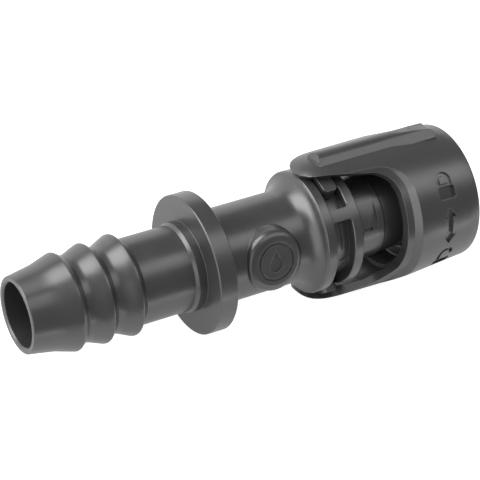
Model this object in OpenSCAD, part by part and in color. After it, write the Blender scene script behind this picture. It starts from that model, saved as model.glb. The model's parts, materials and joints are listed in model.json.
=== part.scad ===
// Drip line connector with a quarter-turn lock sleeve
//
// The connector lies along X, as it comes to rest on a table. Its barbed tail
// points to -X and the mouth of its lock sleeve to +X. The origin is on the
// axis, at the tail side of the stop disc, and every "at" value is a distance
// along X from there. Turns are degrees about the axis, from the middle of one
// sleeve arm toward the first window.

/* [Waterway] */
// Radius of the waterway through the whole body
bore_r = 4.7; // [4.2:0.05:4.9]
// Chamfer at both ends of the waterway
bore_edge = 0.25; // [0.1:0.05:0.4]

/* [Barbed tail] */
// Length of the tail, from its nose to the stop disc
tail_len = 26.4; // [24:0.1:34]
// Radius of the plain shank and of the valleys between barbs
shank_r = 6.35; // [6.2:0.01:6.5]
// Radius of the nose's edge
nose_r = 5.6; // [5.4:0.05:5.8]
// Radius where the gentle nose cone ends and the first barb starts to rise
rise_r = 6.25; // [6:0.01:6.4]
// Length of the gentle nose cone
rise_len = 3.9; // [3:0.1:4.5]
// Distance from the nose to the first barb's crest
lead_len = 6.9; // [6:0.1:8]
// Number of barbs
barb_n = 3; // [2:1:3]
// Distance from one barb to the next
barb_pitch = 4.45; // [3.8:0.05:4.8]
// Radius of the first barb's crest
crest_r = 7.15; // [6.9:0.01:7.3]
// How much larger each next crest is
crest_step = 0.14; // [0:0.01:0.2]
// Length of the blunt back face behind a crest
back_len = 1.2; // [0.8:0.05:1.6]
// Length of the valley between a back face and the next ramp
valley_len = 0.6; // [0.3:0.05:1]
// Height of the collar where the tail meets the stop disc
collar_h = 0.32; // [0.1:0.01:0.5]
// Length of that collar
collar_len = 1.3; // [0.6:0.1:2]

/* [Stop disc and neck] */
// Radius of the stop disc
disc_r = 10.35; // [9:0.05:10.7]
// Thickness of the stop disc
disc_t = 2.85; // [2:0.05:3.5]
// Fine chamfer on the edges of the disc and of the lock rings
fine_edge = 0.14; // [0.05:0.01:0.25]
// Radius of the neck
neck_r = 6.96; // [6.7:0.01:7.2]
// Fillet between neck and disc
neck_fillet = 0.6; // [0.2:0.05:1]

/* [Maker's pad] */
// Where the pad's middle is along the neck
pad_at = 10.7; // [10:0.1:11]
// Turn of the pad's middle
pad_turn = 83; // [60:1:120]
// Distance of the pad's face from the axis
pad_top = 7.6; // [7.4:0.05:8]
// Radius of the pad at its foot
pad_r = 4.9; // [4.6:0.1:5.3]
// Radius of the pad's flat face
pad_face_r = 3.4; // [3:0.1:3.8]

/* [Lock rings] */
// Where the neck starts to flare into the flange
flare_at = 15.4; // [15.2:0.1:16]
// Where the flange's rim starts
flange_at = 18.45; // [18:0.05:19]
// Thickness of the flange's rim
flange_t = 1.6; // [1.3:0.05:2]
// Radius of the flange, on which the sleeve's arms turn
flange_r = 9.25; // [9:0.05:9.3]
// Width of the groove between flange and ring
groove_w = 3.1; // [2.8:0.05:3.4]
// Radius of the groove's floor
groove_r = 7.3; // [7.1:0.05:7.4]
// Thickness of the ring
ring_t = 1.55; // [1.3:0.05:1.8]
// Radius of the ring
ring_r = 9; // [8.8:0.05:9.2]
// Turn of the web that bridges the groove and stops the sleeve's teeth
web_turn = 53.75; // [50:0.25:58]
// Width of that web
web_w = 1.82; // [1.4:0.02:2.2]
// Radius of the fillets between web and rings
web_fillet = 0.55; // [0.3:0.05:0.8]
// Height of the fine arc rail on the groove's floor
rail_h = 0.2; // [0.1:0.05:0.25]

/* [Spigot] */
// Radius of the spigot's base, next to the ring
base_r = 6.45; // [6.35:0.05:6.6]
// Length of that base
base_len = 5.4; // [5:0.1:6]
// Radius of the spigot inside the clamp bore
spigot_r = 6.2; // [6:0.05:6.3]
// Length of the spigot beyond its base
spigot_len = 8.6; // [7.5:0.1:10]
// Radius of the sealing barb at the spigot's end
seal_r = 6.85; // [6.7:0.05:7]
// Width of the flat panel on the spigot's base
panel_w = 4; // [3:0.1:4.4]
// Length of that panel
panel_len = 2.6; // [2:0.1:3]

/* [Lock sleeve] */
// Outer radius of the sleeve
sleeve_r = 10.95; // [10.8:0.05:11.3]
// Where the sleeve's mouth is
sleeve_end = 44.4; // [43:0.1:47]
// Where the sleeve starts to taper toward its mouth
taper_at = 34; // [33.5:0.1:36]
// Outer radius at the mouth
mouth_r = 10.25; // [9.9:0.05:10.5]
// Rounding of the mouth's outer edge
mouth_edge = 0.3; // [0.1:0.05:0.5]
// Radius of the clamp bore that takes the pipe
clamp_r = 8.1; // [8:0.05:8.3]
// Height of the grip ridges in the clamp bore
grip_h = 0.25; // [0.1:0.05:0.35]
// Radial gap between the flange and the arms that turn on it
guide_gap = 0.1; // [0.06:0.01:0.15]
// How far the arm tips reach past the flange
tip_over = 0.15; // [0.05:0.05:0.4]
// Length over which the arm tips grow to the full radius
nose_len = 4.2; // [3.5:0.1:6]
// Inner radius of the arms behind the teeth
arm_in_r = 9.6; // [9.55:0.05:9.8]

/* [Windows] */
// Where the two windows end, toward the mouth
window_end = 31.9; // [31:0.1:33]
// Radius of the windows' corners
window_corner = 4.2; // [3.6:0.1:4.6]
// Turn of those corners' middle from the arm's middle
window_turn = 51.5; // [50:0.5:54]
// Slope of the arms' edges along the window
window_slope = 12; // [8:0.5:14]
// Width of the dished border at the window's end
border_w = 1.75; // [1.2:0.05:1.9]
// Depth of that border
border_d = 1.3; // [1:0.05:1.4]
// Radius of the corners at the arm tips
tip_corner = 1.9; // [1.2:0.1:2.2]

/* [Teeth] */
// Half of the turn that each arm's inner rib spans, tooth to tooth
tooth_turn = 31.5; // [30:0.5:33]
// Width of the teeth along the axis
tooth_w = 2.2; // [1.9:0.05:2.3]
// Gap between the teeth and the flange
tooth_gap = 0.3; // [0.2:0.05:0.5]
// Radial gap between the teeth and the rail under them
rail_gap = 0.3; // [0.15:0.05:0.35]
// Rounding of the teeth's corners
tooth_round = 0.4; // [0.3:0.05:0.5]

/* [Grip ribs] */
// Height of the rib's crest above the sleeve
rib_h = 1.05; // [0.8:0.05:1.3]
// Radius of the rib's rounded crest
rib_nose = 1.75; // [1.4:0.05:1.9]
// Slope of the rib's flanks
rib_slope = 40; // [35:1:45]
// Rounding of the rib's ends, seen from above and from the side
rib_round = 1.2; // [0.8:0.1:1.5]
// Where the ribs start
rib_at = 21.4; // [21:0.1:23]
// Where the ribs end
rib_end = 42.9; // [42:0.1:43.5]

/* [Hidden] */
$fn = 96;
plastic = "dimgray";
groove_at = flange_at + flange_t;
ring_at = groove_at + groove_w;
base_at = ring_at + ring_t;
spigot_at = base_at + base_len;
spigot_end = spigot_at + spigot_len;
rail_r = groove_r + rail_h;
tooth_in_r = rail_r + rail_gap;
tooth_at = groove_at + tooth_gap;
guide_r = flange_r + guide_gap;
tip_at = flange_at - tip_over;
guide_end = groove_at + 0.2;
// The corners reach a hair past the window's end, so that the two cuts cross
corner_at = window_end - window_corner + 0.03;
rib_top = sleeve_r + rib_h;
rib_mid = rib_top - rib_nose;
// The rail on the groove's floor starts and ends at these turns from the web
rail_from = 7;
rail_to = 40;
click_turn = 56;
// It lies on the stop disc and the sleeve's wall, turned this far past the
// place where one rib would touch the table too
rest_past = 16;
rest_turn = acos((sleeve_r - rib_nose) / rib_mid) + rest_past;

// Lays a shape that is built around Z along X, at the angle it rests at
module lay() rotate([0, 90, 0]) rotate([0, 0, 180 - rest_turn]) children();

// Outline's X runs along the axis, its Y toward smaller turns, and its Z outward
module outward(turn) rotate([0, 0, turn]) rotate([0, 90, 0]) rotate([0, 0, 180]) children();

// Ring sector between two radii, from one place along the axis to another
module sector(from_turn, to_turn, r_in, r_out, from, to) {
    rotate([0, 0, from_turn])
        rotate_extrude(angle = to_turn - from_turn)
            translate([r_in, from])
                square([r_out - r_in, to - from]);
}

// Fillet in the corner at the origin, in the quarter where X and Y are positive
module corner_fill(r) {
    difference() {
        square(r);
        translate([r, r]) circle(r);
    }
}

// Band of a profile with fine chamfers on its outer edges
function band(r, from, to, e) = [
    [0, from],
    [r - e, from],
    [r, from + e],
    [r, to - e],
    [r - e, to],
    [0, to]
];

function crest_at(i) = lead_len - tail_len + i * barb_pitch;
function crest(i) = crest_r + i * crest_step;

// One barb: valley, ramp, slightly rounded crest and blunt back face
function barb(i) = [
    if (i > 0) [shank_r, crest_at(i - 1) + back_len + valley_len],
    if (i > 0) [shank_r + 0.12, crest_at(i - 1) + back_len + valley_len + 0.45],
    [crest(i) - 0.08, crest_at(i) - 0.3],
    [crest(i), crest_at(i)],
    [crest(i) - 0.05, crest_at(i) + 0.2],
    [shank_r + 0.1, crest_at(i) + back_len - 0.15],
    [shank_r, crest_at(i) + back_len]
];

tail_points = [
    [0, -tail_len],
    [nose_r - 0.12, -tail_len],
    [nose_r, -tail_len + 0.12],
    [rise_r, rise_len - tail_len],
    for (i = [0:barb_n - 1]) each barb(i),
    [shank_r, -collar_len - 0.5],
    [shank_r + collar_h, -collar_len],
    [shank_r + collar_h, 0.5],
    [0, 0.5]
];

spigot_points = [
    [0, base_at - 0.5],
    [base_r, base_at - 0.5],
    [base_r, spigot_at - 0.25],
    [base_r - 0.25, spigot_at],
    [spigot_r, spigot_at],
    [spigot_r, spigot_end - 3.2],
    [seal_r, spigot_end - 2.6],
    [seal_r, spigot_end - 2.2],
    [spigot_r - 0.4, spigot_end],
    [0, spigot_end]
];

module body_profile() {
    polygon(tail_points);
    polygon(band(disc_r, 0, disc_t, fine_edge));
    translate([0, disc_t - 0.5]) square([neck_r, flange_at - disc_t + 1]);
    translate([neck_r, disc_t]) corner_fill(neck_fillet);
    difference() {
        translate([0, flare_at]) square([flange_r - fine_edge, flange_at - flare_at + 0.1]);
        translate([neck_r + flange_at - flare_at, flare_at]) circle(flange_at - flare_at);
    }
    polygon(band(flange_r, flange_at, groove_at, fine_edge));
    translate([0, groove_at - 0.5]) square([groove_r, groove_w + 1]);
    polygon(band(ring_r, ring_at, base_at, fine_edge));
    polygon(spigot_points);
}

// Round pad on the side of the neck, with a soft shoulder
module pad() {
    shoulder = pad_r - 0.25 - pad_face_r;
    outward(pad_turn)
        translate([pad_at, 0, 0])
            rotate_extrude() {
                translate([0, 2]) square([pad_face_r, pad_top - 2]);
                translate([pad_face_r, pad_top - shoulder]) circle(shoulder);
                polygon([
                    [0, 2],
                    [pad_r, 2],
                    [pad_r, pad_top - shoulder - 1.2],
                    [pad_r - 0.25, pad_top - shoulder],
                    [0, pad_top - shoulder]
                ]);
            }
}

// Bar across the groove, flush with the ring, with filleted inner corners
module web() {
    intersection() {
        outward(web_turn)
            translate([0, 0, groove_r - 0.6])
                linear_extrude(3) {
                    translate([groove_at - 0.3, -web_w / 2]) square([groove_w + 0.6, web_w]);
                    for (side = [0, 1]) mirror([0, side]) {
                        translate([groove_at - 0.03, web_w / 2 - 0.03])
                            corner_fill(web_fillet);
                        translate([ring_at + 0.03, web_w / 2 - 0.03])
                            mirror([1, 0])
                                corner_fill(web_fillet);
                    }
                }
        translate([0, 0, groove_at - 0.3])
            cylinder(h = groove_w + 0.6, r = ring_r);
    }
}

// Fine rail along the groove's floor, with a click bump past its end
module rail() {
    rail_at = groove_at + 1.8;
    sector(web_turn + rail_from, web_turn + rail_to, groove_r - 0.3, rail_r, rail_at, rail_at + 0.32);
    intersection() {
        outward(web_turn + click_turn)
            translate([0, 0, groove_r - 0.6])
                linear_extrude(2)
                    polygon([
                        [rail_at - 0.1, 0],
                        [ring_at + 0.1, 0.75],
                        [ring_at + 0.1, -0.75]
                    ]);
        cylinder(h = ring_at + 0.1, r = rail_r);
    }
}

module barbed_body() {
    color(plastic)
        lay()
            difference() {
                union() {
                    rotate_extrude() body_profile();
                    pad();
                    for (turn = [0, 180]) rotate([0, 0, turn]) {
                        web();
                        rail();
                    }
                }
                translate([0, 0, -tail_len - 1])
                    cylinder(h = tail_len + spigot_end + 2, r = bore_r);
                translate([0, 0, -tail_len - 0.01])
                    cylinder(h = bore_edge, r1 = bore_r + bore_edge, r2 = bore_r);
                translate([0, 0, spigot_end - bore_edge + 0.01])
                    cylinder(h = bore_edge, r1 = bore_r, r2 = bore_r + bore_edge);
                // Flat panel beside the arrow on the spigot's base
                outward(web_turn + 11)
                    translate([base_at + 1.5, -panel_w / 2, sqrt(base_r * base_r - panel_w * panel_w / 4)])
                        cube([panel_len, panel_w, 2]);
            }
}

// Point on an arm's rounded nose, where a runs from 0 at its tip to 90 at the full sleeve
function arm_nose(a) = [
    guide_r + 0.2 + (sleeve_r - guide_r - 0.2) * sin(a),
    tip_at + nose_len * (1 - cos(a))
];

grip_at = window_end + 3;

sleeve_points = [
    [guide_r + 0.1, tip_at],
    for (k = [0:8]) arm_nose(90 * k / 8),
    [sleeve_r, taper_at],
    [mouth_r, sleeve_end - mouth_edge],
    [mouth_r - 0.3 * mouth_edge, sleeve_end - 0.3 * mouth_edge],
    [mouth_r - mouth_edge, sleeve_end],
    [clamp_r + 0.7, sleeve_end],
    [clamp_r, sleeve_end - 1.2],
    for (k = [3:-1:0]) each [
        [clamp_r, grip_at + 1.6 * k + 1.2],
        [clamp_r - grip_h, grip_at + 1.6 * k + 0.3],
        [clamp_r, grip_at + 1.6 * k]
    ],
    [clamp_r, window_end + 0.4],
    [clamp_r + 0.3, window_end - 0.3],
    [arm_in_r - 0.9, window_end - 0.3],
    [arm_in_r, window_end - 3.9],
    [arm_in_r, guide_end + 0.25],
    [guide_r, guide_end],
    [guide_r, tip_at + 0.1]
];

// Section of the windows' dished border, from the opening's edge outward and up
border_points = [
    [0, -border_d],
    [0.55 * border_w, -0.75 * border_d],
    [1.6 * border_w, border_d]
];

// Straight side of a window along one arm, seen along the corner's direction
module arm_cut() {
    translate([corner_at, 0, sleeve_r])
        rotate([0, 0, -window_slope])
            rotate([90, 0, 90])
                mirror([0, 0, 1])
                linear_extrude(corner_at - tip_at + 4)
                    polygon([
                        [-4, border_d],
                        [-4, -8],
                        [window_corner, -8],
                        for (p = border_points) [window_corner + p[0], p[1]]
                    ]);
}

// Corner of a window, between its end and the arm's side
module corner_cut() {
    translate([corner_at, 0, sleeve_r])
        rotate([0, 0, -12])
        rotate_extrude(angle = 102 - window_slope)
            polygon([
                [0, border_d],
                [0, -8],
                [window_corner, -8],
                for (p = border_points) [window_corner + p[0], p[1]]
            ]);
}

// Bevels that round the corner of an arm's tip
module tip_cut() {
    edge_y = window_corner / cos(window_slope) + tan(window_slope) * (corner_at - tip_at - tip_corner);
    mid = [tip_at + tip_corner, edge_y + tip_corner / cos(window_slope)];
    turns = [180, 210, 240, 270 - window_slope];
    arc = [for (a = turns) mid + tip_corner * [cos(a), sin(a)]];
    first = arc[0] + 0.2 * (arc[0] - arc[1]);
    last = arc[3] + 0.2 * (arc[3] - arc[2]);
    translate([0, 0, 3])
        linear_extrude(12)
            polygon([
                [tip_at - 1, last[1]],
                [tip_at - 1, first[1]],
                first,
                arc[1],
                arc[2],
                last
            ]);
}

// A window with its dished border
module window() {
    rotate([0, 0, window_turn])
        rotate_extrude(angle = 180 - 2 * window_turn)
            polygon([
                [3, tip_at - 1],
                [3, window_end],
                for (p = border_points) [sleeve_r + p[1], window_end + p[0]],
                [sleeve_r + border_d, tip_at - 1]
            ]);
    for (side = [0, 1]) mirror([side, 0, 0])
        outward(window_turn) {
            arm_cut();
            corner_cut();
            translate([corner_at - 2, -2, sleeve_r - 7]) cube([4, 4, 8]);
            tip_cut();
        }
}

// Bar from the rib's start to its end with rounded corners, h wide or high
module rib_bar(h, low) {
    long = rib_end - rib_at;
    translate([0, low]) square([long, h - low - rib_round]);
    translate([rib_round, low]) square([long - 2 * rib_round, h - low]);
    for (x = [rib_round, long - rib_round])
        translate([x, h - rib_round]) circle(rib_round);
}

// The same bar seen from above, w wide
module rib_plan(w) {
    rib_bar(w, rib_round);
    for (x = [rib_round, rib_end - rib_at - rib_round])
        translate([x, rib_round]) circle(rib_round);
    translate([rib_round, 0]) square([rib_end - rib_at - 2 * rib_round, w / 2]);
}

// Rib on the back of an arm, with a round crest, slanted flanks and rounded ends
module rib() {
    foot_r = arm_in_r + 0.3;
    k = rib_nose * [cos(rib_slope), sin(rib_slope)];
    foot_y = k[1] + (rib_mid + k[0] - foot_r) / tan(rib_slope);
    foot_turn = rib_slope - acos((rib_mid * cos(rib_slope) + rib_nose) / sleeve_r);
    half = sleeve_r * sin(foot_turn) + 0.15;
    intersection() {
        translate([0, 0, rib_at - 1])
            linear_extrude(rib_end - rib_at + 2)
                difference() {
                    union() {
                        translate([rib_mid, 0]) circle(rib_nose);
                        polygon([
                            [rib_mid, 0],
                            [rib_mid + k[0], k[1]],
                            [foot_r - 0.2, foot_y],
                            [foot_r - 0.2, -foot_y],
                            [rib_mid + k[0], -k[1]]
                        ]);
                    }
                    translate([foot_r - 10, -10]) square([10, 20]);
                }
        translate([0, 5, 0])
            rotate([90, 0, 0])
                linear_extrude(10)
                    mirror([1, 0])
                        rotate([0, 0, 90])
                            translate([rib_at, 0])
                                rib_bar(rib_top + 0.01, 0);
        outward(0)
            translate([rib_at - 0.02, -half, foot_r - 1])
                linear_extrude(rib_top)
                    rib_plan(2 * half);
    }
}

// Inner rib of an arm: it turns in the body's groove, and its ends are the teeth
module teeth() {
    difference() {
        sector(-tooth_turn, tooth_turn, tooth_in_r, arm_in_r + 0.2, tooth_at, tooth_at + tooth_w);
        for (side = [0, 1]) mirror([0, side, 0])
            outward(tooth_turn)
                translate([0, 0, 6])
                    linear_extrude(5)
                        for (end = [0, 1])
                            translate([tooth_at + end * tooth_w, 0])
                                mirror([end, 0])
                                    polygon([
                                        [-tooth_round, -tooth_round],
                                        [2 * tooth_round, -tooth_round],
                                        [-tooth_round, 2 * tooth_round]
                                    ]);
    }
}

module lock_sleeve() {
    color(plastic)
        lay() {
            difference() {
                union() {
                    rotate_extrude() polygon(sleeve_points);
                    for (turn = [0, 180]) rotate([0, 0, turn]) rib();
                }
                for (turn = [0, 180]) rotate([0, 0, turn]) window();
            }
            for (turn = [0, 180]) rotate([0, 0, turn]) teeth();
        }
}

barbed_body();
lock_sleeve();
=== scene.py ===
"""Looks of a drip line connector: a barbed body and its quarter-turn lock sleeve."""

import json
import logging
import math
from collections.abc import Callable, Sequence
from dataclasses import dataclass, field, replace
from enum import Enum
from functools import partial
from typing import Any

import bmesh
import bpy
from mathutils import Matrix, Vector

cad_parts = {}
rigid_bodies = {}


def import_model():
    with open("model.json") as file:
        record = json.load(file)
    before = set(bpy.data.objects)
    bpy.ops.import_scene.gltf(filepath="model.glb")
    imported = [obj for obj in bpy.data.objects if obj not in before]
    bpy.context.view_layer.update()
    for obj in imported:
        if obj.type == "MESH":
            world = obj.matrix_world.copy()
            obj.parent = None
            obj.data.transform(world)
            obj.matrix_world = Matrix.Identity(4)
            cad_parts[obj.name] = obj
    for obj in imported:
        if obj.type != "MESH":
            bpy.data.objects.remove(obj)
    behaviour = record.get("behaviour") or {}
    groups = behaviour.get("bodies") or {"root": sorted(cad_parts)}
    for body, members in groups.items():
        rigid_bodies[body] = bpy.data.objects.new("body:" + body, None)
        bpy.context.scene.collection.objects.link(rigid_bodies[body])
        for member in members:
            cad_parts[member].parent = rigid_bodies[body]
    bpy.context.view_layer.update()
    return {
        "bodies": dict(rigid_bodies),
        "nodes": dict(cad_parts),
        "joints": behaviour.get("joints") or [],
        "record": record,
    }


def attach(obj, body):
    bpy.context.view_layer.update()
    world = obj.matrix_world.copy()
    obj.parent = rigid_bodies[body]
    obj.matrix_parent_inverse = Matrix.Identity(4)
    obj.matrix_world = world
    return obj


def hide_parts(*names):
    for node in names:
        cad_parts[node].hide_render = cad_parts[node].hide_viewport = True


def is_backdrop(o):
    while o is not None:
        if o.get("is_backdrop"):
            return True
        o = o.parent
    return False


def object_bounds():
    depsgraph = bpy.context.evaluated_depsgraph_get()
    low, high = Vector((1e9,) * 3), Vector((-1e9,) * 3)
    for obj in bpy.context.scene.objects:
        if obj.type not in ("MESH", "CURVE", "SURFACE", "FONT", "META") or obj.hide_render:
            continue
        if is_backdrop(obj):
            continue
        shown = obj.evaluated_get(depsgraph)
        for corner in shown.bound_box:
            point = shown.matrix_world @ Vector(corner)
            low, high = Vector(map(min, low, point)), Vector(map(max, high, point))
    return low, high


LOG = logging.getLogger("drip_line_connector")
MM = 0.001

Point2 = tuple[float, float]
Point3 = tuple[float, float, float]
Place = Callable[[Point2], Vector]
Radius = Callable[[float], float]


class Shade(Enum):
    """Painted shade or painted highlight on a sunk face, as a factor on the plastic's colour."""

    # Painted shade: the sunk face darker than the wall.
    DARK = 0.35
    PLAIN = 1.0
    # Painted highlight: the sunk face lighter than the wall, as where it mirrors a lamp.
    LIGHT = 1.7


class LockState(Enum):
    """The two ends of the sleeve's quarter turn, each shown by a padlock."""

    CLOSED = "closed"
    OPEN = "open"


@dataclass(frozen=True)
class Pose:
    """How the connector lies on the table, in degrees about its axis.

    Attributes:
        rest_turn: Turn of the whole object, which lies on the stop disc and the sleeve's wall.
        view_turn: Turn of the camera and lamps about the same axis.
    """

    rest_turn: float = 42.157
    view_turn: float = 40.657

    def on_axis(self, s: float, r: float, turn: float) -> Vector:
        """Finds a point from its place along the axis, radius and turn.

        Args:
            s: Distance along X from the stop disc, in millimetres.
            r: Distance from the axis, in millimetres.
            turn: Degrees from the middle of the sleeve's far arm toward the first window.

        Returns:
            The point in metres.
        """
        a = math.radians(turn - self.rest_turn)
        return Vector((s, -r * math.sin(a), r * math.cos(a))) * MM

    def view_matrix(self) -> Matrix:
        """Gives the turn from the photograph's frame to the table's."""
        return Matrix.Rotation(math.radians(-self.view_turn), 3, "X")


@dataclass
class Wiring:
    """Short calls that add nodes and join them.

    Attributes:
        tree: The node tree of a material or of the room.
    """

    tree: bpy.types.NodeTree

    def add(self, kind: str, **settings: Any) -> bpy.types.Node:
        """Adds a node.

        Args:
            kind: Blender's name for the node's type.
            **settings: Values for the node's own properties.

        Returns:
            The new node.
        """
        node = self.tree.nodes.new(kind)
        for name, value in settings.items():
            setattr(node, name, value)
        return node

    def join(self, source: bpy.types.NodeSocket, target: bpy.types.NodeSocket) -> None:
        """Links an output to an input."""
        self.tree.links.new(source, target)

    def arithmetic(
        self,
        operation: str,
        value: bpy.types.NodeSocket,
        factor: bpy.types.NodeSocket | float,
        plus: bpy.types.NodeSocket | float | None = None,
    ) -> bpy.types.NodeSocket:
        """Adds a product, or a product and a sum.

        Args:
            operation: MULTIPLY or MULTIPLY_ADD.
            value: The first value.
            factor: What it is multiplied by.
            plus: What is added to it.

        Returns:
            The result.
        """
        node = self.add("ShaderNodeMath", operation=operation)
        for place, given in enumerate((value, factor, plus)):
            if isinstance(given, float):
                node.inputs[place].default_value = given
            elif given is not None:
                self.join(given, node.inputs[place])
        return node.outputs["Value"]

    def noise(
        self, coords: bpy.types.NodeSocket, scale: float, detail: float, rough: float = 0.5
    ) -> bpy.types.NodeSocket:
        """Adds a noise pattern.

        Args:
            coords: Where the pattern is read.
            scale: Number of patches in a metre.
            detail: Number of finer layers.
            rough: How strong the finer layers are.

        Returns:
            The pattern, from 0 to 1.
        """
        node = self.add("ShaderNodeTexNoise")
        node.inputs["Scale"].default_value = scale
        node.inputs["Detail"].default_value = detail
        node.inputs["Roughness"].default_value = rough
        self.join(coords, node.inputs["Vector"])
        return node.outputs["Fac"]

    def ramp(
        self, source: bpy.types.NodeSocket, low: Point3, high: Point3, span: Point2
    ) -> bpy.types.NodeSocket:
        """Turns a pattern into a colour or a level.

        Args:
            source: The pattern.
            low: Colour at the span's start.
            high: Colour at the span's end.
            span: Start and end of the change.

        Returns:
            The colour.
        """
        node = self.add("ShaderNodeValToRGB")
        for stop, colour, position in zip(node.color_ramp.elements, (low, high), span):
            stop.position = position
            stop.color = (*colour, 1.0)
        self.join(source, node.inputs["Fac"])
        return node.outputs["Color"]

    def bump(
        self,
        height: bpy.types.NodeSocket,
        normal: bpy.types.NodeSocket,
        strength: float,
        distance: float,
    ) -> bpy.types.NodeSocket:
        """Raises a fine relief on a surface.

        Args:
            height: The pattern.
            normal: The surface's normal.
            strength: How much of the relief shows.
            distance: Height of the relief in metres.

        Returns:
            The new normal.
        """
        node = self.add("ShaderNodeBump")
        node.inputs["Strength"].default_value = strength
        node.inputs["Distance"].default_value = distance
        self.join(height, node.inputs["Height"])
        self.join(normal, node.inputs["Normal"])
        return node.outputs["Normal"]


@dataclass(frozen=True)
class PlasticFinish:
    """Dark moulded plastic with a fine grain and painted highlights on its open edges.

    Attributes:
        name: The material's name.
        base: Linear base colour.
        roughness: Mean roughness.
        cloud: How far the colour drifts, as a share of it.
        cloud_scale: Patches of drifting colour in a metre.
        smudge_scale: Glossier and duller patches in a metre.
        grain: Height of the fine grain, in millimetres.
        grain_scale: Grains in a metre.
        wave: Height of the moulding's broad waves, in millimetres.
        wave_scale: Broad waves in a metre.
        edge_mm: Radius that the eye sees on sharp edges.
        crevice_mm: How near another face has to be to keep the painted highlight off an edge.
        highlight_bend: Cosine of the bend at which the painted edge highlight starts and at which
            it is full.
        edge_highlight: How many times lighter the painted highlight on a sharp open edge is.
        seed: Offset of the noise patterns.
    """

    name: str
    base: Point3
    roughness: float = 0.31
    cloud: float = 0.07
    cloud_scale: float = 90.0
    smudge_scale: float = 220.0
    grain: float = 0.012
    grain_scale: float = 5200.0
    wave: float = 0.02
    wave_scale: float = 420.0
    edge_mm: float = 0.13
    crevice_mm: float = 0.5
    highlight_bend: Point2 = (0.99, 0.86)
    edge_highlight: float = 3.0
    seed: float = 0.0

    def shaded(self, shade: Shade) -> "PlasticFinish":
        """Gives the finish of a sunk face, with painted shade or a painted highlight in its colour.

        Args:
            shade: The painted shade or highlight of the face.

        Returns:
            The same plastic, painted lighter or darker, without the painted edge highlight.
        """
        base = tuple(c * shade.value for c in self.base)
        return replace(self, name=f"{self.name}_{shade.name.lower()}", base=base, edge_highlight=1.0)

    def tinted(self, factor: float) -> Point3:
        """Gives the base colour times a factor, no lighter than white."""
        red, green, blue = (min(1.0, c * factor) for c in self.base)
        return red, green, blue

    def add_colour(
        self, wires: Wiring, coords: bpy.types.NodeSocket, soft_normal: bpy.types.NodeSocket
    ) -> bpy.types.NodeSocket:
        """Adds the clouded colour, with a painted highlight on open sharp edges.

        Args:
            wires: The material's nodes.
            coords: Where the patterns are read.
            soft_normal: Normal with softened edges.

        Returns:
            The colour.
        """
        cloud = wires.noise(coords, self.cloud_scale, detail=4.0)
        low, high = self.tinted(1.0 - self.cloud), self.tinted(1.0 + self.cloud)
        plain = wires.ramp(cloud, low, high, span=(0.35, 0.65))
        # Painted highlight: where the softened normal bends away from the true one, on edges that
        # no near face hides, the base colour turns lighter.
        apart = wires.add("ShaderNodeVectorMath", operation="DOT_PRODUCT")
        wires.join(soft_normal, apart.inputs[0])
        wires.join(wires.add("ShaderNodeNewGeometry").outputs["Normal"], apart.inputs[1])
        edge = wires.add("ShaderNodeMapRange")
        edge.inputs["From Min"].default_value, edge.inputs["From Max"].default_value = self.highlight_bend
        wires.join(apart.outputs["Value"], edge.inputs["Value"])
        open_air = wires.add("ShaderNodeAmbientOcclusion", samples=4)
        open_air.inputs["Distance"].default_value = self.crevice_mm * MM
        mixed = wires.add("ShaderNodeMix", data_type="RGBA")
        painted_highlight = wires.arithmetic("MULTIPLY", edge.outputs["Result"], open_air.outputs["AO"])
        wires.join(painted_highlight, mixed.inputs["Factor"])
        wires.join(plain, mixed.inputs["A"])
        mixed.inputs["B"].default_value = (*self.tinted(self.edge_highlight), 1.0)
        return mixed.outputs["Result"]

    def add_relief(
        self, wires: Wiring, coords: bpy.types.NodeSocket, soft_normal: bpy.types.NodeSocket
    ) -> bpy.types.NodeSocket:
        """Adds the fine grain and the moulding's broad waves.

        Args:
            wires: The material's nodes.
            coords: Where the patterns are read.
            soft_normal: Normal with softened edges.

        Returns:
            The normal.
        """
        grain = wires.noise(coords, self.grain_scale, detail=3.0, rough=0.6)
        wave = wires.noise(coords, self.wave_scale, detail=2.0)
        fine = wires.bump(grain, soft_normal, strength=0.35, distance=self.grain * MM)
        return wires.bump(wave, fine, strength=0.25, distance=self.wave * MM)

    def build(self) -> bpy.types.Material:
        """Makes the material.

        Returns:
            A procedural material for Cycles.
        """
        mat = bpy.data.materials.new(self.name)
        mat.use_nodes = True
        mat.node_tree.nodes.clear()
        wires = Wiring(mat.node_tree)
        out = wires.add("ShaderNodeOutputMaterial")
        bsdf = wires.add("ShaderNodeBsdfPrincipled")
        bsdf.inputs["Specular IOR Level"].default_value = 1.0
        bsdf.inputs["IOR"].default_value = 1.5
        wires.join(bsdf.outputs["BSDF"], out.inputs["Surface"])
        mapping = wires.add("ShaderNodeMapping")
        mapping.inputs["Location"].default_value = (self.seed, self.seed * 0.7, -self.seed)
        wires.join(wires.add("ShaderNodeTexCoord").outputs["Object"], mapping.inputs["Vector"])
        coords = mapping.outputs["Vector"]
        soft_edge = wires.add("ShaderNodeBevel", samples=8)
        soft_edge.inputs["Radius"].default_value = self.edge_mm * MM
        soft_normal = soft_edge.outputs["Normal"]
        smudge = wires.noise(coords, self.smudge_scale, detail=5.0, rough=0.6)
        glossy, dull = (self.roughness - 0.04,) * 3, (self.roughness + 0.05,) * 3
        patches = wires.ramp(smudge, glossy, dull, span=(0.3, 0.7))
        wires.join(patches, bsdf.inputs["Roughness"])
        wires.join(self.add_colour(wires, coords, soft_normal), bsdf.inputs["Base Color"])
        wires.join(self.add_relief(wires, coords, soft_normal), bsdf.inputs["Normal"])
        return mat


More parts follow.
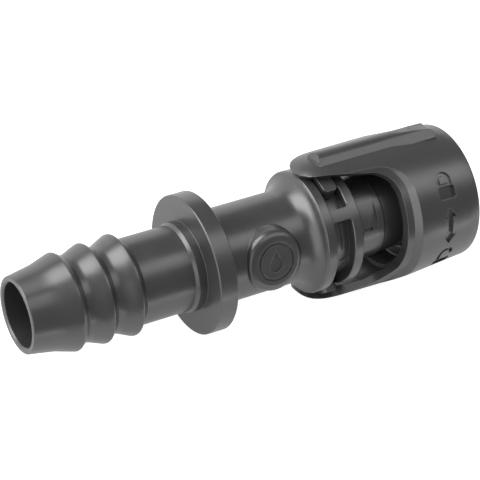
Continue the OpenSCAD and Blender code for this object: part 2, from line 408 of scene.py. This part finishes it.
def finished_object(name: str, bm: bmesh.types.BMesh) -> bpy.types.Object:
    """Turns finished mesh data into an object of the scene.

    Args:
        name: Name of the mesh and the object.
        bm: The mesh data, which is freed.

    Returns:
        The object.
    """
    bmesh.ops.recalc_face_normals(bm, faces=bm.faces[:])
    mesh = bpy.data.meshes.new(name)
    bm.to_mesh(mesh)
    bm.free()
    obj = bpy.data.objects.new(name, mesh)
    bpy.context.scene.collection.objects.link(obj)
    return obj


def prism(name: str, outline: Sequence[Point2], low: Place, high: Place) -> bpy.types.Object:
    """Makes a closed cutter from an outline and two placing functions.

    Args:
        name: Name of the cutter.
        outline: Points of the outline, in order.
        low: Function that puts an outline point on the cutter's floor.
        high: Function that puts an outline point above the surface.

    Returns:
        The cutter as an object.
    """
    bm = bmesh.new()
    floor = [bm.verts.new(low(p)) for p in outline]
    top = [bm.verts.new(high(p)) for p in outline]
    caps = [bm.faces.new(floor), bm.faces.new(list(reversed(top)))]
    count = len(outline)
    for i in range(count):
        j = (i + 1) % count
        bm.faces.new((floor[j], floor[i], top[i], top[j]))
    bmesh.ops.triangulate(bm, faces=caps)
    return finished_object(name, bm)


def ring_prism(
    name: str, outer: Sequence[Point2], inner: Sequence[Point2], low: Place, high: Place
) -> bpy.types.Object:
    """Makes a closed ring-shaped cutter from two outlines with as many points.

    Args:
        name: Name of the cutter.
        outer: Points of the outer outline, in order.
        inner: Points of the inner outline, in the same order.
        low: Function that puts an outline point on the cutter's floor.
        high: Function that puts an outline point above the surface.

    Returns:
        The cutter as an object.
    """
    bm = bmesh.new()
    rings = [
        [bm.verts.new(put(p)) for p in outline] for outline in (outer, inner) for put in (low, high)
    ]
    count = len(outer)
    for a, b in ((0, 1), (1, 3), (3, 2), (2, 0)):
        for i in range(count):
            j = (i + 1) % count
            bm.faces.new((rings[a][i], rings[a][j], rings[b][j], rings[b][i]))
    return finished_object(name, bm)


def arc(cx: float, cy: float, r: float, start: float, end: float, count: int) -> list[Point2]:
    """Points along an arc.

    Args:
        cx: Centre, first coordinate.
        cy: Centre, second coordinate.
        r: Radius.
        start: First angle in degrees.
        end: Last angle in degrees.
        count: Number of points.

    Returns:
        The points in order.
    """
    steps = [math.radians(start + (end - start) * k / (count - 1)) for k in range(count)]
    return [(cx + r * math.cos(a), cy + r * math.sin(a)) for a in steps]


def round_rect(low: Point2, high: Point2, r: float) -> list[Point2]:
    """Rectangle with rounded corners.

    Args:
        low: Left lower corner.
        high: Right upper corner.
        r: Corner radius.

    Returns:
        The outline's points.
    """
    left, under, right, over = low[0] + r, low[1] + r, high[0] - r, high[1] - r
    corners = ((right, over), (left, over), (left, under), (right, under))
    outline: list[Point2] = []
    for quarter, (cx, cy) in enumerate(corners):
        outline += arc(cx, cy, r, quarter * 90, quarter * 90 + 90, 6)
    return outline


@dataclass
class Part:
    """A moulding: a copy of its solid, cut with its signs and dressed.

    Attributes:
        node: The solid's node name.
        body: The body it moves with.
        slot: The material slot; not used.
        finish: The plastic it is moulded in.
        pose: How the connector lies.
        cutters: What is cut from the solid.
        shades: Painted shade or highlight of each cutter's sunk faces, where they aren't plain.
        clear: How far a sign's cutter stands above the wall, in millimetres.
        weld: Distance at which two points of the mesh are one, in metres.
        crease: Angle in degrees from which an edge stays sharp.
    """

    node: str
    body: str
    slot: str
    finish: PlasticFinish
    pose: Pose
    cutters: list[bpy.types.Object] = field(default_factory=list)
    shades: dict[str, Shade] = field(default_factory=dict)
    clear: float = 0.6
    weld: float = 1e-7
    crease: float = 28.0

    def wall_point(self, p: Point2, at: Point2, radius: Radius, lift: float) -> Vector:
        """Wraps a point of a flat sign round the wall.

        Args:
            p: The point in millimetres, X along the axis and Y toward smaller turns.
            at: Place along the axis and turn of the sign's origin.
            radius: Function that gives the wall's radius at a place along the axis.
            lift: Height above the wall.

        Returns:
            The point in metres.
        """
        s = at[0] + p[0]
        r = radius(s)
        return self.pose.on_axis(s, r + lift, at[1] - math.degrees(p[1] / r))

    def on_wall(
        self,
        name: str,
        outline: Sequence[Point2],
        at: Point2,
        radius: Radius,
        depth: float,
        hole: Sequence[Point2] | None = None,
        shade: Shade = Shade.PLAIN,
    ) -> None:
        """Cuts a sign into the wall of a round part.

        Args:
            name: Name of the sign.
            outline: Outline in millimetres, X along the axis and Y toward smaller turns.
            at: Place along the axis and turn of the outline's origin.
            radius: Function that gives the wall's radius at a place along the axis.
            depth: Depth of the cut in millimetres.
            hole: Outline of a land left inside, with as many points.
            shade: Painted shade or highlight of the sunk face.
        """
        low = partial(self.wall_point, at=at, radius=radius, lift=-depth)
        high = partial(self.wall_point, at=at, radius=radius, lift=self.clear)
        if hole is None:
            cutter = prism(name, outline, low, high)
        else:
            cutter = ring_prism(name, outline, hole, low, high)
        self.cutters.append(cutter)
        self.shades[cutter.name] = shade

    def copy_solid(self, source: bpy.types.Object) -> bpy.types.Object:
        """Copies the solid and closes its mesh.

        Args:
            source: The solid's object.

        Returns:
            The copy.
        """
        obj = bpy.data.objects.new(f"{self.node}_moulding", source.data.copy())
        bpy.context.scene.collection.objects.link(obj)
        bm = bmesh.new()
        bm.from_mesh(obj.data)
        bmesh.ops.remove_doubles(bm, verts=bm.verts[:], dist=self.weld)
        bmesh.ops.dissolve_degenerate(bm, dist=self.weld, edges=bm.edges[:])
        bm.to_mesh(obj.data)
        bm.free()
        return obj

    def cut_signs(self, obj: bpy.types.Object) -> None:
        """Cuts every cutter from the moulding and dresses what it bares, with painted shade or a
        painted highlight where the cutter's shade asks for one.

        Args:
            obj: The copy of the solid.
        """
        finishes = {Shade.PLAIN: self.finish.build()}
        obj.data.materials.clear()
        obj.data.materials.append(finishes[Shade.PLAIN])
        for cutter in self.cutters:
            shade = self.shades.get(cutter.name, Shade.PLAIN)
            if shade not in finishes:
                finishes[shade] = self.finish.shaded(shade).build()
            cutter.data.materials.append(finishes[shade])
            cut = obj.modifiers.new(cutter.name, "BOOLEAN")
            cut.operation = "DIFFERENCE"
            cut.solver = "EXACT"
            cut.material_mode = "TRANSFER"
            cut.object = cutter
        bpy.context.view_layer.update()
        depsgraph = bpy.context.evaluated_depsgraph_get()
        mesh = bpy.data.meshes.new_from_object(obj.evaluated_get(depsgraph))
        obj.modifiers.clear()
        obj.data = mesh
        for cutter in self.cutters:
            bpy.data.objects.remove(cutter)

    def build(self, frame: dict[str, Any]) -> bpy.types.Object:
        """Copies the solid, cuts its signs and dresses it.


        Returns:
            The finished piece.
        """
        obj = self.copy_solid(frame["nodes"][self.node])
        signs = len(self.cutters)
        self.cut_signs(obj)
        mesh = obj.data
        if "custom_normal" in mesh.attributes:
            mesh.attributes.remove(mesh.attributes["custom_normal"])
        mesh.shade_smooth()
        mesh.set_sharp_from_angle(angle=math.radians(self.crease))
        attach(obj, self.body)
        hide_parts(self.node)
        LOG.info("%s: %d faces, %d cuts", obj.name, len(mesh.polygons), signs)
        return obj


@dataclass
class BarbedBody(Part):
    """The barbed body, with the pad's emblem and the spigot's arrow.

    Attributes:
        pad_at: Place of the pad's middle along the axis.
        pad_turn: Turn of the pad's middle.
        pad_top: Height of the pad's face above the axis.
        ring_r: Outer radius of the emblem's ring.
        ring_w: Width of the emblem's ring.
        sign_depth: Depth of the emblem.
        drop_r: Radius of the drop's round end.
        drop_low: Place of the round end's middle, under the pad's middle.
        drop_side: Half the drop's width at drop_neck.
        drop_neck: Height at which the drop narrows to its tip.
        drop_tip: Height of the drop's tip.
        spigot_r: Radius of the spigot's base.
        arrow_at: Place along the axis and turn of the arrow.
        arrow_ends: Place of the arrow's tip and of its shaft's end, beside arrow_at.
        arrow_neck: Place where the arrow's head meets its shaft.
        arrow_half: Half the width of the arrow's shaft.
        arrow_head: Half the width of the arrow's head.
        arrow_depth: Depth of the arrow.
    """

    pad_at: float = 10.7
    pad_turn: float = 83.0
    pad_top: float = 7.6
    ring_r: float = 2.95
    ring_w: float = 0.42
    sign_depth: float = 0.25
    drop_r: float = 1.1
    drop_low: float = -0.5
    drop_side: float = 0.48
    drop_neck: float = 0.85
    drop_tip: float = 1.8
    spigot_r: float = 6.45
    arrow_at: Point2 = (26.35, 81.8)
    arrow_ends: Point2 = (-1.0, 1.5)
    arrow_neck: float = -0.1
    arrow_half: float = 0.3
    arrow_head: float = 0.75
    arrow_depth: float = 0.3

    def on_pad(self, p: Point2, height: float) -> Vector:
        """Finds a point over the pad.

        Args:
            p: Place beside the pad's middle in millimetres, along the axis and across it.
            height: Height above the axis in millimetres.

        Returns:
            The point in metres.
        """
        a = math.radians(self.pad_turn - self.pose.rest_turn)
        out = Vector((0.0, -math.sin(a), math.cos(a)))
        up = Vector((0.0, math.cos(a), math.sin(a)))
        return (Vector((self.pad_at + p[0], 0.0, 0.0)) + up * p[1] + out * height) * MM

    def add_emblem(self) -> None:
        """Cuts a plain drop in a ring into the pad's face."""
        low = partial(self.on_pad, height=self.pad_top - self.sign_depth)
        high = partial(self.on_pad, height=self.pad_top + self.clear)
        drop = arc(0.0, self.drop_low, self.drop_r, -215, 35, 26)
        drop += [(self.drop_side, self.drop_neck), (0.0, self.drop_tip)]
        drop += [(-self.drop_side, self.drop_neck)]
        self.cutters.append(prism("emblem_drop", drop, low, high))
        radii = (self.ring_r, self.ring_r - self.ring_w)
        outer, inner = (arc(0.0, 0.0, r, 0, 354, 60) for r in radii)
        self.cutters.append(ring_prism("emblem_ring", outer, inner, low, high))

    def spigot_wall(self, s: float) -> float:
        """Radius of the spigot's base, the same at every place s along the axis."""
        return self.spigot_r

    def add_arrow(self) -> None:
        """Cuts the small arrow that points to the tail into the spigot's base."""
        tip, end = self.arrow_ends
        neck, half, head = self.arrow_neck, self.arrow_half, self.arrow_head
        outline = [(tip, 0.0), (neck, head), (neck, half), (end, half)]
        outline += [(end, -half), (neck, -half), (neck, -head)]
        self.on_wall("arrow", outline, self.arrow_at, self.spigot_wall, self.arrow_depth)


@dataclass
class LockSleeve(Part):
    """The lock sleeve, with its padlock and arrow signs.

    Attributes:
        taper_at: Place along the axis where the wall's taper starts.
        end_at: Place of the mouth.
        full_r: Radius of the wall before the taper.
        mouth_r: Radius of the wall at the mouth.
        sign_at: Place of the signs' row along the axis.
        depth: Depth of the locks' bodies and the arrow.
        band_depth: Depth of the locks' shackles.
        lock_turn: Turn of the closed lock.
        arrow_turn: Turn of the arrow.
        open_turn: Turn of the open lock.
        lock_box: Low and high corner of a lock's body, beside the sign's place.
        lock_round: Radius of the body's corners.
        shackle: Outer and inner radius of a shackle.
        shackle_foot: How far a closed shackle's hole stands off the body, and how far an
            open shackle's free end hangs under its round part.
        crown: Height of a closed shackle's round part.
        crown_lift: How much higher an open shackle stands.
        arrow_half: Half the length of the arrow.
        arrow_head: Length and half the width of the arrow's heads.
        shaft_half: Half the width of the arrow's shaft.
        rib_turns: Turns of the two grip ribs.
        rib_crest: Place and height of the ribs' crest, down to the mouth end's foot.
        rib_span: First and last place of the cut along the ribs.
        rib_over: Height that is clear of the ribs.
        rib_half: Half the width of the cut along a rib.
        toe_at: Place along the axis from which a rib's toe is taken off.
        toe_turn: Degrees on either side of the rib's middle where it is taken off.
        toe_step: Degrees between two rows of the toe's cutter.
        toe_film: Height above the wall of the toe's cut.
    """

    taper_at: float = 34.0
    end_at: float = 44.1
    full_r: float = 10.95
    mouth_r: float = 10.25
    sign_at: float = 38.85
    depth: float = 0.45
    band_depth: float = 0.3
    lock_turn: float = 55.8
    arrow_turn: float = 90.0
    open_turn: float = 126.0
    lock_box: tuple[Point2, Point2] = ((-1.45, -2.05), (1.45, -0.1))
    lock_round: float = 0.4
    shackle: Point2 = (1.3, 0.72)
    shackle_foot: float = 0.3
    crown: float = 0.8
    crown_lift: float = 0.5
    arrow_half: float = 3.05
    arrow_head: Point2 = (1.6, 1.2)
    shaft_half: float = 0.5
    rib_turns: Point2 = (0.0, 180.0)
    rib_crest: tuple[Point2, ...] = (
        (33.0, 12.04),
        (38.5, 11.76),
        (41.0, 11.56),
        (41.35, 11.42),
        (41.6, 11.1),
        (41.7, 10.7),
    )
    rib_span: Point2 = (33.0, 44.0)
    rib_over: float = 13.0
    rib_half: float = 4.0
    toe_at: float = 41.68
    toe_turn: float = 24.0
    toe_step: float = 2.0
    toe_film: float = 0.04

    def wall(self, s: float) -> float:
        """Radius of the tapered wall.

        Args:
            s: Place along the axis in millimetres.

        Returns:
            The outer radius in millimetres.
        """
        if s < self.taper_at:
            return self.full_r
        share = (s - self.taper_at) / (self.end_at - self.taper_at)
        return self.full_r + (self.mouth_r - self.full_r) * share

    def add_padlock(self, state: LockState, turn: float) -> None:
        """Cuts a padlock sign.

        Args:
            state: Whether the lock is shown closed or open.
            turn: Turn of the sign's middle.
        """
        at = (self.sign_at, turn)
        body = round_rect(*self.lock_box, self.lock_round)
        # The lock's sunk body gets painted shade, as if its floor lay in shadow.
        self.on_wall(f"{state.value}_lock", body, at, self.wall, self.depth, shade=Shade.DARK)
        wide, thin = self.shackle
        crown = self.crown + (self.crown_lift if state is LockState.OPEN else 0.0)
        outer = [(wide, 0.0)] + arc(0.0, crown, wide, 0, 180, 24) + [(-wide, 0.0)]
        inner = arc(0.0, crown, thin, 180, 0, 24)
        hole = None
        if state is LockState.OPEN:
            free_end = crown - self.shackle_foot
            outer[0] = (wide, free_end)
            outer += [(-thin, 0.0)] + inner + [(thin, free_end)]
        else:
            foot = self.shackle_foot
            hole = [(thin, foot)] + inner[::-1] + [(-thin, foot)]
        name = f"{state.value}_shackle"
        # The shackle's sunk band gets a painted highlight, as if its floor mirrored a lamp.
        self.on_wall(name, outer, at, self.wall, self.band_depth, hole, Shade.LIGHT)

    def add_turn_arrow(self) -> None:
        """Cuts the arrow with two heads that stands between the locks."""
        half, wide, shaft = self.arrow_half, self.arrow_head[1], self.shaft_half
        neck = half - self.arrow_head[0]
        left = [(0.0, half), (-wide, neck), (-shaft, neck), (-shaft, -neck), (-wide, -neck)]
        outline = left + [(-x, -y) for x, y in left]
        at = (self.sign_at - 0.1, self.arrow_turn)
        # The arrow's sunk floor gets a painted highlight, as if it mirrored a lamp.
        self.on_wall("turn_arrow", outline, at, self.wall, self.depth, shade=Shade.LIGHT)

    def add_signs(self) -> None:
        """Cuts all three signs, from the closed lock to the open one."""
        self.add_padlock(LockState.CLOSED, self.lock_turn)
        self.add_padlock(LockState.OPEN, self.open_turn)
        self.add_turn_arrow()

    def on_rib(self, p: Point2, across: float, turn: float) -> Vector:
        """Finds a point beside a rib's middle plane.

        Args:
            p: Place along the axis and height above it, in millimetres.
            across: Distance from the middle plane in millimetres.
            turn: Turn of the rib's middle.

        Returns:
            The point in metres.
        """
        out = self.pose.on_axis(0.0, 1.0, turn)
        side = self.pose.on_axis(0.0, 1.0, turn + 90.0)
        return Vector((p[0] * MM, 0.0, 0.0)) + out * p[1] + side * across

    def round_ribs(self) -> None:
        """Rounds the mouth end of each grip rib and lets its crest follow the tapered wall."""
        first, last = self.rib_span
        foot = self.rib_crest[-1][1]
        outline = list(self.rib_crest)
        outline += [(last, foot), (last, self.rib_over), (first, self.rib_over)]
        for turn in self.rib_turns:
            low = partial(self.on_rib, across=-self.rib_half, turn=turn)
            high = partial(self.on_rib, across=self.rib_half, turn=turn)
            label = f"rib_end_{turn:.0f}"
            self.cutters.append(prism(label, outline, low, high))
            self.cutters.append(self.toe_block(f"{label}_toe", turn))

    def toe_block(self, name: str, turn: float) -> bpy.types.Object:
        """Makes the cutter that takes a rib's toe off, down to the wall.

        Args:
            name: Name of the cutter.
            turn: Turn of the rib's middle.

        Returns:
            The cutter.
        """
        ends = (self.toe_at, self.rib_span[1])
        profile = [(s, self.wall(s) + self.toe_film) for s in ends]
        profile += [(s, self.rib_over) for s in reversed(ends)]
        count = round(2.0 * self.toe_turn / self.toe_step) + 1
        steps = [turn - self.toe_turn + k * self.toe_step for k in range(count)]
        bm = bmesh.new()
        rows = [[bm.verts.new(self.pose.on_axis(s, r, a)) for s, r in profile] for a in steps]
        for one, two in zip(rows, rows[1:]):
            for k in range(4):
                n = (k + 1) % 4
                bm.faces.new((one[k], one[n], two[n], two[k]))
        bm.faces.new(rows[0])
        bm.faces.new(list(reversed(rows[-1])))
        return finished_object(name, bm)


@dataclass(frozen=True)
class SoftBox:
    """A long soft lamp that lies along the connector.

    Attributes:
        name: The lamp's name.
        turn: Degrees from straight up toward the viewer, in the photograph's frame.
        lean: How far it stands toward the mouth (above 0) or the tail (below 0), from -1 to 1.
        away: Distance from the connector's middle, in metres.
        size: Length along X and width, in metres.
        watts: Power.
    """

    name: str
    turn: float
    lean: float
    away: float
    size: Point2
    watts: float

    def toward(self) -> Vector:
        """Direction from the connector to the lamp, in the photograph's frame."""
        a, level = math.radians(self.turn), math.sqrt(1.0 - self.lean**2)
        return Vector((self.lean, -level * math.sin(a), level * math.cos(a)))

    def build(self, pose: Pose, middle: Vector) -> bpy.types.Object:
        """Adds the lamp.

        Args:
            pose: How the connector lies.
            middle: What the lamp looks at.

        Returns:
            The lamp.
        """
        data = bpy.data.lights.new(self.name, "AREA")
        data.shape = "RECTANGLE"
        data.size, data.size_y = self.size
        data.energy = self.watts
        lamp = bpy.data.objects.new(self.name, data)
        back = (pose.view_matrix() @ self.toward()).normalized()
        side = Vector((1.0, 0.0, 0.0))
        side = (side - back * side.dot(back)).normalized()
        axes = Matrix((side, back.cross(side), back)).transposed().to_4x4()
        lamp.matrix_world = Matrix.Translation(middle + back * self.away) @ axes
        bpy.context.scene.collection.objects.link(lamp)
        return lamp


@dataclass
class Studio:
    """Camera, lamps, table and air around the connector.

    Attributes:
        pose: How the connector lies.
        lens: The camera's focal length in millimetres, on a sensor 36 mm wide.
        ahead: Direction in which the camera looks, in the photograph's frame.
        right: The camera's right, in the photograph's frame.
        eye: The camera's place in millimetres, to its right, up and back.
        roll: Turn of the camera about its own axis in degrees.
        middle: Place of the connector's middle along X, in metres.
        white: The table's brightness for the camera, beside what falls on it.
        mirrored: The table's brightness in the plastic's gloss, beside what falls on it.
        air: The room's brightness.
        table_half: Half the table's side in metres.
        lamps: The soft lamps.
    """

    pose: Pose
    lens: float = 150.0
    ahead: Point3 = (0.4330127, 0.75, -0.5)
    right: Point3 = (0.8660254, -0.5, 0.0)
    eye: Point3 = (7.83, 3.572, 285.714)
    roll: float = 0.39
    middle: float = 0.009
    white: float = 0.85
    mirrored: float = 0.42
    air: float = 0.3
    table_half: float = 3.0
    lamps: tuple[SoftBox, ...] = (
        SoftBox("over_strip", 30.0, 0.433, 0.5, (0.7, 0.13), 0.52),
        SoftBox("upper_strip", 45.0, 0.433, 0.5, (0.7, 0.13), 0.37),
        SoftBox("low_strip", 127.0, 0.433, 0.5, (0.7, 0.05), 0.36),
        SoftBox("tail_box", 90.0, -0.9, 0.9, (1.0, 1.0), 5.0),
        SoftBox("back_box", -12.0, -0.6, 0.9, (1.2, 0.7), 13.5),
    )

    def add_camera(self) -> bpy.types.Object:
        """Places the camera as the photograph was taken.

        Returns:
            The camera.
        """
        right, ahead = Vector(self.right), Vector(self.ahead)
        up = right.cross(ahead)
        eye = right * self.eye[0] + up * self.eye[1] - ahead * self.eye[2]
        c, s = math.cos(math.radians(self.roll)), math.sin(math.radians(self.roll))
        right, up = right * c - up * s, right * s + up * c
        data = bpy.data.cameras.new("camera")
        data.lens = self.lens
        data.sensor_width = 36.0
        data.clip_start = 0.01
        data.clip_end = 20.0
        cam = bpy.data.objects.new("camera", data)
        axes = Matrix((right, up, -ahead)).transposed()
        turn = self.pose.view_matrix()
        cam.matrix_world = Matrix.Translation(turn @ eye * MM) @ (turn @ axes).to_4x4()
        bpy.context.scene.collection.objects.link(cam)
        bpy.context.scene.camera = cam
        return cam

    def table_finish(self) -> bpy.types.Material:
        """Makes the table's matt white, as white to the camera as paper.

        Returns:
            The material.
        """
        mat = bpy.data.materials.new("white_table")
        mat.use_nodes = True
        bsdf = mat.node_tree.nodes["Principled BSDF"]
        bsdf.inputs["Base Color"].default_value = (0.6, 0.6, 0.6, 1.0)
        bsdf.inputs["Roughness"].default_value = 0.9
        bsdf.inputs["Specular IOR Level"].default_value = 0.0
        bsdf.inputs["Emission Color"].default_value = (1.0, 1.0, 1.0, 1.0)
        wires = Wiring(mat.node_tree)
        path = wires.add("ShaderNodeLightPath").outputs
        mirrored = wires.arithmetic("MULTIPLY", path["Is Glossy Ray"], self.mirrored)
        level = wires.arithmetic("MULTIPLY_ADD", path["Is Camera Ray"], self.white, mirrored)
        wires.join(level, bsdf.inputs["Emission Strength"])
        return mat

    def add_table(self) -> bpy.types.Object:
        """Lays the white table that the connector rests on.

        Returns:
            The table.
        """
        low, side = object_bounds()[0][2], self.table_half
        corners = [(-side, -side, low), (side, -side, low), (side, side, low), (-side, side, low)]
        mesh = bpy.data.meshes.new("table")
        mesh.from_pydata(corners, [], [(0, 1, 2, 3)])
        mesh.materials.append(self.table_finish())
        table = bpy.data.objects.new("table", mesh)
        bpy.context.scene.collection.objects.link(table)
        table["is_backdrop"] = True
        return table

    def add_air(self) -> None:
        """Sets the dim room that the plastic mirrors, white where the camera sees it."""
        world = bpy.data.worlds.new("room")
        world.use_nodes = True
        bpy.context.scene.world = world
        wires = Wiring(world.node_tree)
        seen = wires.add("ShaderNodeLightPath").outputs["Is Camera Ray"]
        level = wires.arithmetic("MULTIPLY_ADD", seen, 1.0 - self.air, self.air)
        background = world.node_tree.nodes["Background"]
        background.inputs["Color"].default_value = (1.0, 1.0, 1.0, 1.0)
        wires.join(level, background.inputs["Strength"])

    def build(self) -> None:
        """Sets up the whole studio."""
        self.add_camera()
        self.add_air()
        self.add_table()
        for lamp in self.lamps:
            lamp.build(self.pose, Vector((self.middle, 0.0, 0.0)))
        bpy.context.scene.view_settings.view_transform = "Standard"
        LOG.info("studio: %d lamps", len(self.lamps))


def main() -> None:
    """Builds every piece in order."""
    logging.basicConfig(level=logging.INFO)
    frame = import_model()
    pose = Pose()
    grey = (0.026, 0.0264, 0.027)
    plastic = PlasticFinish("body_plastic", grey, seed=0.3)
    body = BarbedBody("barbed_body", "body", "body_plastic", plastic, pose)
    body.add_emblem()
    body.add_arrow()
    body.build(frame)
    plastic = PlasticFinish("sleeve_plastic", grey, seed=1.7)
    sleeve = LockSleeve("lock_sleeve", "sleeve", "sleeve_plastic", plastic, pose)
    sleeve.round_ribs()
    sleeve.add_signs()
    sleeve.build(frame)
    Studio(pose).build()


if __name__ == "__main__":
    main()
